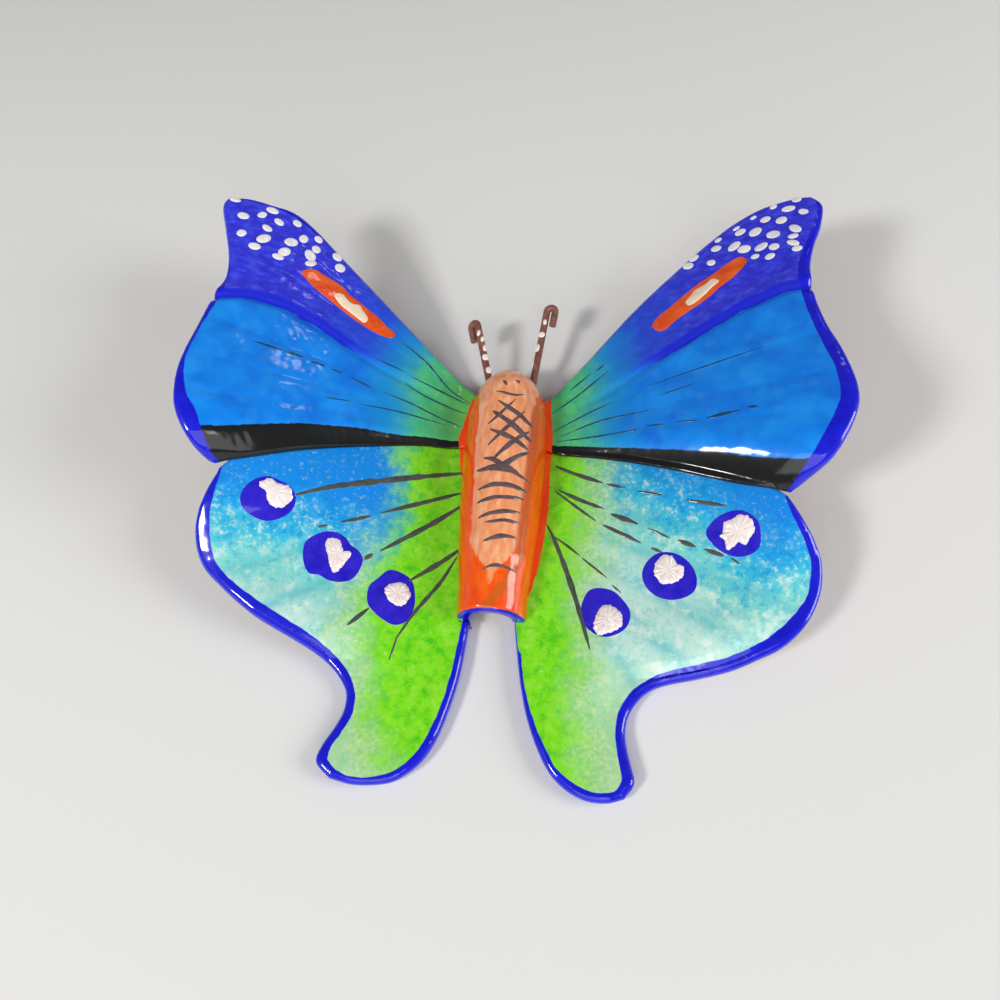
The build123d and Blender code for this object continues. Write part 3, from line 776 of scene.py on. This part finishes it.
def clay_slab(grid, skin, under):
    """Vertices and faces of a slab over a plan grid, with a rounded rim, and for each
    vertex whether it belongs to the underside, and whether to the side."""
    nu, nv = grid.shape[:2]
    plan = inside_box(grid.reshape(-1, 2))
    ring = ring_of(nu, nv)
    outline = plan[ring]
    tangent = np.roll(outline, -1, 0) - np.roll(outline, 1, 0)
    for _ in range(3):
        tangent = tangent + np.roll(tangent, 1, 0) + np.roll(tangent, -1, 0)
    tangent /= np.linalg.norm(tangent, axis=1)[:, None]
    normal = np.stack([tangent[:, 1], -tangent[:, 0]], -1)
    area = np.sum(outline[:, 0] * np.roll(outline[:, 1], -1) - outline[:, 1] * np.roll(outline[:, 0], -1))
    normal *= np.sign(area)
    depth = skin(*outline.T) - under(*outline.T)
    radius = np.minimum(rim_radius, rim_depth_share * np.maximum(depth, thinnest))
    inset, near = nearest(plan, outline)
    pull = np.maximum(rim_radius * rim_pull - inset, 0) / (rim_radius * rim_pull)
    plan = plan - normal[near] * (radius[near] * pull)[:, None]
    top = np.column_stack([plan, skin(*plan.T)])
    bottom = np.column_stack([plan, under(*plan.T)])
    rings = []
    angles = np.radians([18, 36, 54, 72, 90])
    side_ring, last_ring = 2, 2 * len(angles) - 1
    base = plan[ring]
    for surface, sign, turns in ((skin, -1, angles), (under, 1, angles[::-1])):
        for angle in turns:
            p = base + normal * (radius * sin(angle))[:, None]
            rings.append(np.column_stack([p, surface(*p.T) + sign * radius * (1 - cos(angle))]))
    count = nu * nv
    quads = quads_of(np.arange(count).reshape(nu, nv))
    loops = [ring] + [2 * count + k * len(ring) + np.arange(len(ring)) for k in range(len(rings))]
    loops.append(ring + count)
    faces = quads.tolist() + (quads[:, ::-1] + count).tolist() + stitch(loops)
    vertices = np.vstack([top, bottom] + rings)
    is_under = np.zeros(len(vertices))
    is_under[count:2 * count] = 1
    is_under[2 * count + last_ring * len(ring):] = 1
    is_side = np.zeros(len(vertices), bool)
    is_side[2 * count + side_ring * len(ring):] = True
    return vertices, faces, is_under, is_side


def inside_box(plan):
    """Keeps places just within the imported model's plan."""
    low, high = cad_bounds
    return np.clip(plan, np.array(low[:2]) / MM + box_margin, np.array(high[:2]) / MM - box_margin)


def visible_edge(px, top, drop):
    return inside_box(on_surface(px, top, -drop))


def orange_layer(vertices, orange_px):
    """How far outside the body's orange paint a place lies, as the wings' roots show it."""
    line = on_surface(orange_px, lambda x, y: np.full(np.shape(x), root_top))
    line = line[np.argsort(line[:, 1])]
    limit = np.interp(vertices[:, 1], line[:, 1], np.abs(line[:, 0]), left=0.0, right=0.0)
    return np.abs(vertices[:, 0]) - limit


def forewing(side, material):
    front, back = [(side.sign * root_half, y) for y in (root_front, root_step)]
    lead = np.vstack([[front], visible_edge(side.lead_px + side.tip_px[:1], fore_top, fore_lead_drop)])
    margin = visible_edge(side.tip_px[1:] + side.margin_px, fore_top, fore_margin_drop)
    notch = visible_edge([side.notch_px], hind_top, 0.0)
    foot = np.vstack([notch, visible_edge(side.foot_px, hind_top, 0.0), [back]])
    rim = np.vstack([notch, margin[::-1], lead[-1:]])
    nu, nv = fore_grid
    grid = patch_grid(curve(lead, nu), curve(foot, nu)[::-1],
                      curve([back, front], nv), curve(rim, nv))
    vertices, faces, under, sides = clay_slab(grid, fore_skin, fore_under)
    px = pixels(vertices)
    foot_gap, _ = nearest(vertices[:, :2], curve(foot, foot_count))
    rim_px = rim_layer(px, side.lead_px + side.tip_px + side.margin_px + [(*side.notch_px, 4)])
    layers = {
        "furrow": furrow_offset(vertices[:, 0], vertices[:, 1]),
        "band": np.where(foot_gap < foot_reach, well_inside, beyond(px, side.band_px)),
        "green": beyond(px, side.fore_green_px),
        "rim": np.where(sides & (foot_gap > foot_reach), on_rim, rim_px),
        "root": orange_layer(vertices, side.orange_px),
        "under": under,
    }
    node = side.name + "_forewing"
    make_mesh(node + "_clay", vertices, faces, material, node, layers)


def hind_veins(vertices):
    """Share of the hindwings' vein grooves at places."""
    distance, angle = polar(hind_pole, np.abs(vertices[:, 0]), vertices[:, 1])
    off = [np.radians(angle - vein) * distance for vein in hind_vein_angles]
    return groove(1.0, vein_paint_width, np.abs(off).min(0)) * smooth(*hind_ink, distance)


def hindwing(side, material):
    crotch, root = [(side.sign * root_half, y) for y in (root_back, root_step)]
    notch = visible_edge([side.notch_px], hind_top, 0.0)
    foot = np.vstack([notch, visible_edge(side.foot_px, hind_top, 0.0)])
    ahead = foot + np.stack([0 * foot[:, 0], tuck + tuck_slope * np.abs(foot[:, 0])], -1)
    front = np.vstack([[root], ahead[::-1][:-1], notch])
    outer = visible_edge(side.hind_px, hind_top, hind_drop)
    hook = visible_edge(side.hook_px, hind_top, hind_drop)
    inner = np.vstack([hook[-1:], visible_edge(side.tail_px, hind_top, hind_drop), [crotch]])
    rim = np.vstack([hook[::-1], outer[::-1], notch])
    nu, nv = hind_grid
    grid = patch_grid(curve(front, nu), curve(inner[::-1], nu),
                      curve([crotch, root], nv), curve(rim, nv))
    vertices, faces, under, sides = clay_slab(grid, hind_skin, hind_under)
    px = pixels(vertices)
    rim_px = rim_layer(px, [(*side.notch_px, 5)] + side.hind_px + side.hook_px + side.tail_px)
    layers = {
        "green": beyond(px, side.green_px),
        "pale": beyond(px, side.pale_px),
        "row": px[:, 1],
        "veins": hind_veins(vertices),
        "rim": np.where(sides, on_rim, rim_px),
        "root": orange_layer(vertices, side.orange_px),
        "under": under,
    }
    node = side.name + "_hindwing"
    make_mesh(node + "_clay", vertices, faces, material, node, layers)


def build_wings():
    for build, material in ((forewing, forewing_paint()), (hindwing, hindwing_paint())):
        for side in (left, right):
            build(side, material)


def body_paint():
    p = Paint("body_paint")
    streaks = p.noise(1.2, 4, 0.62, p.scaled(1, 0.3, 1))
    skin = p.ramp(streaks, [(0.3, rgb(232, 138, 90)), (0.5, salmon), (0.7, rgb(252, 190, 142))])
    edge = p.plus(p.layer("salmon"), p.swing(streaks, 1.3))
    p.base = p.blend(p.step(edge, -0.35, 0.35), orange_paint(p), skin)
    # Painted shade: an ochre-brown line darkens the right flank along the salmon's right edge
    flank_shade = p.plus(p.layer("flank_shade"), p.swing(streaks, 1.2))
    p.coat(p.step(flank_shade, -0.3, 0.6), rgb(196, 96, 22), 0.75)
    tail = p.step(p.wavered(p.layer("tail_face"), 1.2, 0.12), 0.05, -0.05)
    p.coat(tail, ultramarine)
    p.coat(p.layer("inside"), bare_clay(p))
    p.gloss(0.36, 1.0, 0.1)
    p.relief(streaks, 0.25, 0.15)
    return p.colour(p.base)


def build_body():
    """The hollow body. Each section runs over the outside and back through the hollow,
    which the nose fills."""
    ring = 2 * body_round
    turn = np.linspace(0, pi, body_round)
    nose_share = nose_length / body_length
    along = np.linspace(0, 1 - nose_share, body_rows)
    dome = 1 - nose_share * (1 - np.sin(np.linspace(0.05, pi / 2 - 0.03, dome_rows)))
    solid = 1 - nose_solid / body_length
    rows = []
    for share in np.concatenate([along, dome]):
        w, h = body_half(share)
        y = body_tail + share * body_length
        flare = tail_flare * np.exp(-(share / tail_flare_share) ** 2) * (1 - np.sin(turn)) ** 2
        x = (w + flare) * np.cos(turn)
        out = [x, np.full(body_round, y), seat_level + (h + body_bumps(x, y)) * np.sin(turn)]
        wall = body_wall if share < solid else h
        back = turn[::-1]
        within = [(w - min(body_wall, wall)) * np.cos(back), out[1], seat_level + (h - wall) * np.sin(back)]
        rows.append(np.hstack([out, within]).T)
    edge, middle = rows[0].copy(), (rows[0] + rows[0][::-1]) / 2
    lips = []
    for slant in np.radians([90, 60, 30, 0]):
        lip = edge + (middle - edge) * (1 - cos(slant)) * 2 * lip_radius / body_wall
        lip[:, 1] = body_tail + lip_radius * (1 - sin(slant))
        lips.append(lip)
    rows = lips + [row for row in rows if row[0, 1] > body_tail + lip_radius]
    tip = np.array([[0.0, body_tail + body_length, seat_level]])
    vertices = np.vstack(rows + [tip])
    loops = [np.arange(k * ring, (k + 1) * ring) for k in range(len(rows))]
    faces = stitch(loops)
    last, first = loops[-1], loops[0]
    faces += [[int(a), int(b), len(vertices) - 1] for a, b in zip(last, np.roll(last, -1))]
    for j in range(body_round - 1):
        faces.append([int(first[k]) for k in (j, j + 1, ring - 2 - j, ring - 1 - j)])
    x, y, z = vertices.T
    w, h = body_half(np.clip((y - body_tail) / body_length, 0, 0.9999))
    w, h = np.maximum(w, 0.1), np.maximum(h, 0.1)
    across = (pi / 2 - np.arctan2(np.maximum(z - seat_level, 0) / h, x / w)) * 1.05 * w
    left_limit, right_limit = np.interp(y, *left_salmon), np.interp(y, *right_salmon)
    fade = salmon_fade * (1 - smooth(*salmon_fade_y, y))
    # Where the painted shade on the right flank runs, just outside the salmon's right edge
    flank_shade = flank_shade_half - np.abs(across - right_limit - flank_shade_off)
    inside = np.tile(np.repeat([0.0, 1.0], body_round), len(rows))
    inside[:2 * ring] = 0.0
    layers = {
        "salmon": np.where(across < 0, left_limit + across, right_limit - across) - fade,
        "flank_shade": flank_shade - flank_shade_fade * smooth(*flank_shade_fade_y, y),
        "tail_face": y - body_tail - tail_blue,
        "inside": np.append(inside, 0.0),
    }
    make_mesh("body_clay", vertices, faces, body_paint(), "body", layers, sharp=50)


class Relief:
    """Gathers raised strokes and dabs of thick paint that lie on a surface."""

    step_px, sunk = 1.6, 0.12
    oval_points, dot_points = 16, 28

    def __init__(self, top):
        self.top = top
        self.vertices, self.faces, self.count = [], [], 0

    def shell(self, px, height, closed):
        """A thin closed shell under rows of pixels. A closed shell's rows are rings."""
        plan = inside_box(on_surface(px.reshape(-1, 2), self.top))
        x, y = plan.T
        z = self.top(x, y)
        index = np.arange(len(plan)).reshape(height.shape) + self.count
        if closed:
            index = np.hstack([index, index[:, :1]])
        quads = quads_of(index)
        edges = {(a, b) for quad in quads.tolist() for a, b in zip(quad, quad[1:] + quad[:1])}
        total = len(plan)
        self.faces += quads.tolist() + (quads[:, ::-1] + total).tolist()
        self.faces += [[b, a, a + total, b + total] for a, b in edges if (b, a) not in edges]
        for level in (z + height.reshape(-1), z - self.sunk):
            self.vertices.append(np.column_stack([x, y, level]))
        self.count += 2 * total

    def stroke(self, points, width, height):
        """A tapered stroke along a line of pixels."""
        length = np.sum(np.linalg.norm(np.diff(np.array(points, float), axis=0), axis=1))
        count = max(int(length / self.step_px), 7)
        middle = curve(points, count)
        tangent = np.gradient(middle, axis=0)
        tangent /= np.linalg.norm(tangent, axis=1)[:, None]
        normal = np.column_stack([-tangent[:, 1], tangent[:, 0]])
        taper = np.sin(pi * (0.04 + 0.92 * np.linspace(0, 1, count)))
        seed = int(points[0][0] * 7 + points[0][1])
        half = width / 2 * taper ** 0.6 * (1 + 0.12 * ripples(middle[:, 0], middle[:, 1], 14.0, seed))
        across = np.array([-1, -0.8, -0.4, 0, 0.4, 0.8, 1])
        px = middle[:, None] + normal[:, None] * (half[:, None] * across[None])[..., None]
        mound = height * np.clip(1 - across ** 4, 0.05, 1)[None] * taper[:, None] ** 0.3
        self.shell(px, mound, False)

    def dab(self, outline, height, count, ridges=0.0):
        """A rounded dab inside an outline of pixels, with ridges that run outwards."""
        ring = curve(outline, count, closed=True)
        centre = ring.mean(0)
        rows = int(np.linalg.norm(ring - centre, axis=1).max() / 2) + 4
        shrink = np.concatenate([[1.0, 0.985, 0.96, 0.92], np.linspace(0.87, 0.02, rows)])
        px = centre + (ring[None] - centre) * shrink[:, None, None]
        turn = np.linspace(0, 2 * pi, count, endpoint=False)
        comb = np.sin(11 * turn + 2 * np.sin(3 * turn)) + 0.5 * np.sin(23 * turn + 1.3)
        share = shrink[:, None]
        px = px + (px - centre) * (0.18 * ridges * comb[None] * share ** 3)[..., None]
        mound = height * np.clip(1 - share ** 5, 0.03, 1)
        mound = mound * (1 + 2 * ridges * comb[None] * share * (1.15 - share))
        self.shell(px, mound, True)

    def oval(self, x, y, length, width, slant, height):
        turn = np.linspace(0, 2 * pi, self.oval_points, endpoint=False)
        a, b = length / 2 * np.cos(turn), width / 2 * np.sin(turn)
        c, s = cos(radians(slant)), sin(radians(slant))
        outline = np.column_stack([x + a * c - b * s, y + a * s + b * c])
        self.dab(outline, height, self.dot_points)

    def finish(self, name, material):
        make_mesh(name, np.vstack(self.vertices), self.faces, material)


def thick_paint(name, stops, size=1.5):
    p = Paint(name)
    shade = p.noise(size, 4, 0.6)
    p.gloss(0.4, 1.0, 0.1)
    p.relief(shade, 0.15, 0.1)
    return p.colour(p.ramp(shade, stops))


def lay_dabs(name, skin, outlines, material, height, count, ridges=0.0):
    piece = Relief(skin)
    for outline in outlines:
        piece.dab(outline, height, count, ridges)
    piece.finish(name, material)


def lay_strokes(name, skin, strokes, material, height):
    piece = Relief(skin)
    for points, width in strokes:
        piece.stroke(points, width, height)
    piece.finish(name, material)


def build_painting():
    white = thick_paint("white_dots", [(0.3, rgb(236, 232, 234)), (0.7, rgb(248, 244, 242))])
    impasto = thick_paint("off_white_dabs", [(0.3, rgb(232, 216, 216)), (0.7, rgb(248, 238, 230))], 0.8)
    lozenge = thick_paint("orange_lozenges", [(0.35, rgb(226, 70, 14)), (0.7, rgb(246, 108, 40))], 3.0)
    cream = thick_paint("cream_cores", [(0.3, rgb(250, 220, 188)), (0.7, rgb(252, 234, 214))])
    disc = thick_paint("violet_discs", [(0.35, rgb(26, 14, 186)), (0.7, rgb(52, 34, 206))], 3.0)
    line = thick_paint("grey_strokes", [(0.35, rgb(58, 70, 66)), (0.7, rgb(92, 88, 80))], 2.0)
    body_line = thick_paint("brown_strokes", [(0.35, rgb(84, 68, 72)), (0.7, rgb(116, 94, 92))])
    fine = thick_paint("dark_veins", [(0.35, rgb(14, 62, 96)), (0.7, rgb(30, 84, 112))], 3.0)
    for side in (left, right):
        wing = side.name + "_forewing"
        spots = Relief(fore_skin)
        for x, y, length, width, slant in side.dots_px:
            spots.oval(x, y, length, width, slant, dot_height)
        spots.finish(wing + "_dots", white)
        lay_dabs(wing + "_lozenge", fore_skin, [side.lozenge_px], lozenge, lozenge_height, 110)
        lay_dabs(wing + "_core", fore_skin, [side.core_px], cream, core_height, 90)
        lay_strokes(wing + "_veins", fore_skin, side.fore_strokes_px, fine, fine_stroke_height)
        wing = side.name + "_hindwing"
        lay_dabs(wing + "_discs", hind_skin, side.discs_px, disc, disc_height, 96)
        lay_dabs(wing + "_dabs", hind_skin, side.dabs_px, impasto, impasto_height, 110, 0.16)
        lay_strokes(wing + "_veins", hind_skin, side.hind_strokes_px, line, stroke_height)
    lay_strokes("body_strokes", body_skin, body_strokes_px, body_line, stroke_height)


def antenna_dots(side, material):
    """Dots of thick paint on a wire, where the camera's rays meet it."""
    node = side.name + "_antenna"
    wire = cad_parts[node]
    eye = Vector(camera_place * MM)
    vertices, faces = [], []
    rows, ring = 7, 14
    px_per_mm, dot_rise, dot_sink, wire_level = 4.3, 0.32, 0.1, 6.0
    for x, y, length, width in side.antenna_dots_px:
        ray = Vector(rays([(x, y)])[0])
        hit, place, normal, _ = wire.ray_cast(eye, ray.normalized())
        if not hit:
            near_wire = eye + ray * (camera_place[2] - wire_level) * MM / -ray.z
            _, place, normal, _ = wire.closest_point_on_mesh(near_wire)
        place, out = np.array(place) / MM, np.array(normal)
        along = np.array([0.08, 0.97, 0.2])
        along -= out * out.dot(along)
        along /= np.linalg.norm(along)
        across = np.cross(out, along)
        start = len(vertices)
        for i in range(rows + 1):
            for j in range(ring):
                lat, lon = pi * (0.02 + 0.96 * i / rows), 2 * pi * j / ring
                a = length / 2 / px_per_mm * sin(lat) * cos(lon)
                b = width / 2 / px_per_mm * sin(lat) * sin(lon)
                vertices.append(place + along * a + across * b + out * (dot_rise * cos(lat) - dot_sink))
        for i in range(rows):
            for j in range(ring):
                a, b = start + i * ring + j, start + i * ring + (j + 1) % ring
                faces.append([a, b, b + ring, a + ring])
        faces.append(list(range(start, start + ring)))
        faces.append(list(range(start + rows * ring, start + (rows + 1) * ring)))
    make_mesh(node + "_dots", vertices, faces, material)


def dress_wires():
    """Finishes for the nodes that keep their own shape."""
    brown = Paint("antenna_paint")
    brown.gloss(0.42, 0.6, 0.12)
    brown.relief(brown.noise(0.8), 0.3, 0.1)
    shades = brown.ramp(brown.noise(1.6, 4), [(0.3, rgb(104, 62, 54)), (0.7, rgb(150, 100, 84))])
    brown = brown.colour(shades)
    steel = Paint("steel_wire")
    steel.feed(steel.shader, {"Metallic": 1.0, "Roughness": 0.34})
    steel.relief(steel.noise(0.6, 2, 0.5, steel.scaled(0.2, 1, 1)), 0.15, 0.05)
    shades = steel.ramp(steel.noise(2.0), [(0.3, rgb(140, 140, 142)), (0.7, rgb(176, 176, 180))])
    steel = steel.colour(shades)
    for node, material in (("left_antenna", brown), ("right_antenna", brown), ("hanging_wire", steel)):
        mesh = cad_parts[node].data
        mesh.materials.clear()
        mesh.materials.append(material)
    dots = thick_paint("antenna_spots", [(0.3, rgb(232, 222, 210)), (0.7, rgb(250, 242, 234))])
    for side in (left, right):
        antenna_dots(side, dots)


def stage():
    mesh = bpy.data.meshes.new("floor")
    half = 1.2
    corners = [(-half, -half, 0), (half, -half, 0), (half, half, 0), (-half, half, 0)]
    mesh.from_pydata(corners, [], [(0, 1, 2, 3)])
    floor = place_object("floor", mesh)
    p = Paint("floor_paint")
    p.feed(p.shader, {"Roughness": 0.9})
    mesh.materials.append(p.colour(rgb(226, 225, 222)))
    world = bpy.context.scene.world or bpy.data.worlds.new("world")
    bpy.context.scene.world = world
    world.use_nodes = True
    background = world.node_tree.nodes["Background"]
    background.inputs["Color"].default_value = (1.0, 1.0, 1.0, 1.0)
    background.inputs["Strength"].default_value = 0.17
    # Each lamp's name, place and size in metres, and power in watts
    lamps = [("key", (-0.56, -0.42, 0.55), 0.16, 4.4), ("fill", (0.75, -0.05, 0.36), 0.4, 4.4),
             ("low", (0.0, -0.9, 0.6), 0.9, 4.2), ("front", (0.14, -0.52, 0.6), 0.12, 0.22),
             ("glint", (0.17, 0.575, 0.53), 0.04, 0.035)]
    for name, place, size, power in lamps:
        light = bpy.data.lights.new(name, "AREA")
        light.size, light.energy = size, power
        lamp = place_object(name, light)
        lamp.location = place
        lamp.rotation_euler = (-Vector(place)).to_track_quat("-Z", "Y").to_euler()


def camera():
    data = bpy.data.cameras.new("camera")
    data.sensor_width = 36.0
    data.lens = data.sensor_width * focal_px / image_px
    data.clip_start = 0.01
    eye = place_object("camera", data)
    axes = Matrix([camera_right, -camera_down, -forward]).transposed().to_4x4()
    eye.matrix_world = Matrix.Translation(Vector(camera_place * MM)) @ axes
    bpy.context.scene.camera = eye


bpy.context.scene.view_settings.view_transform = "Standard"
camera()
stage()
build_wings()
build_body()
build_painting()
dress_wires()
